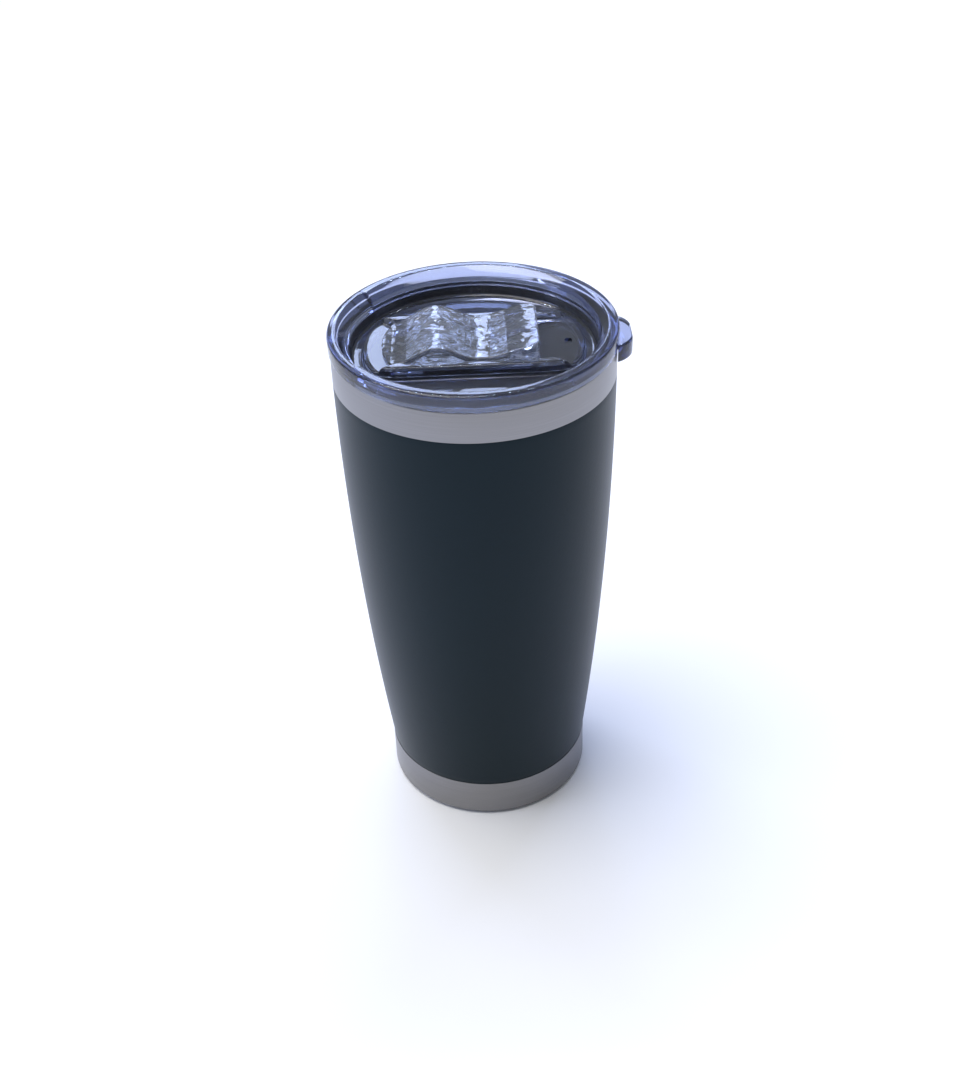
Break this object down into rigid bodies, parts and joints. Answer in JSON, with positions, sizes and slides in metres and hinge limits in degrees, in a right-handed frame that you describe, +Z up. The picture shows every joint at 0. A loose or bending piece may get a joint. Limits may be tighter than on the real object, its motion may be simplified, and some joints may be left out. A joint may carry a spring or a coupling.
{
  "type": "insulated tumbler with lid",
  "caption": "Tapered double-wall steel tumbler with a dark painted side, bare steel bands at lip and foot, and a clear press-in lid with a sliding drink closure and a lift tab.",
  "frame": {"origin": "centre of the foot ring, on the surface that the tumbler stands on", "axes": "+Z up along the cup's axis, +X towards the lid's lift tab, -X towards the side to drink from"},
  "size_m": [0.0929, 0.0888, 0.1752],
  "materials": {
    "bare_steel": "bare stainless steel, fine brushing round the axis",
    "liner_steel": "bare stainless steel, satin",
    "copper": "thin copper film, satin",
    "glass_solder": "dark glass solder, glossy",
    "getter": "pressed metal powder, matt",
    "dark_paint": "satin powder coat, green-black, fine orange peel",
    "smoke_plastic": "clear copolyester with a slate blue tint, polished",
    "clear_plastic": "clear untinted copolyester, polished",
    "black_silicone": "black silicone, satin"
  },
  "bodies": {
    "cup": {"outer_shell": "bare_steel", "inner_liner": "liner_steel", "liner_bottom": "liner_steel", "copper_lining": "copper", "vacuum_base": "liner_steel", "seal_bead": "glass_solder", "getter_clip": "liner_steel", "getter_pellet": "getter", "base_cover": "bare_steel", "powder_coat": "dark_paint"},
    "gasket": {"lid_gasket": "black_silicone"},
    "lid": {"lid_shell": "smoke_plastic"},
    "slider": {"slider": "clear_plastic"}
  },
  "joints": [
    {"name": "lid_lift", "type": "slide", "parent": "cup", "child": "gasket", "axis": [0, 0, 1], "range_m": [0, 0.06]},
    {"name": "lid_turn", "type": "hinge", "parent": "gasket", "child": "lid", "pos_m": [0, 0, 0.167], "axis": [0, 0, 1], "continuous": true},
    {"name": "slider_slide", "type": "slide", "parent": "lid", "child": "slider", "axis": [1, 0, 0], "range_m": [0, 0.0145]}
  ]
}
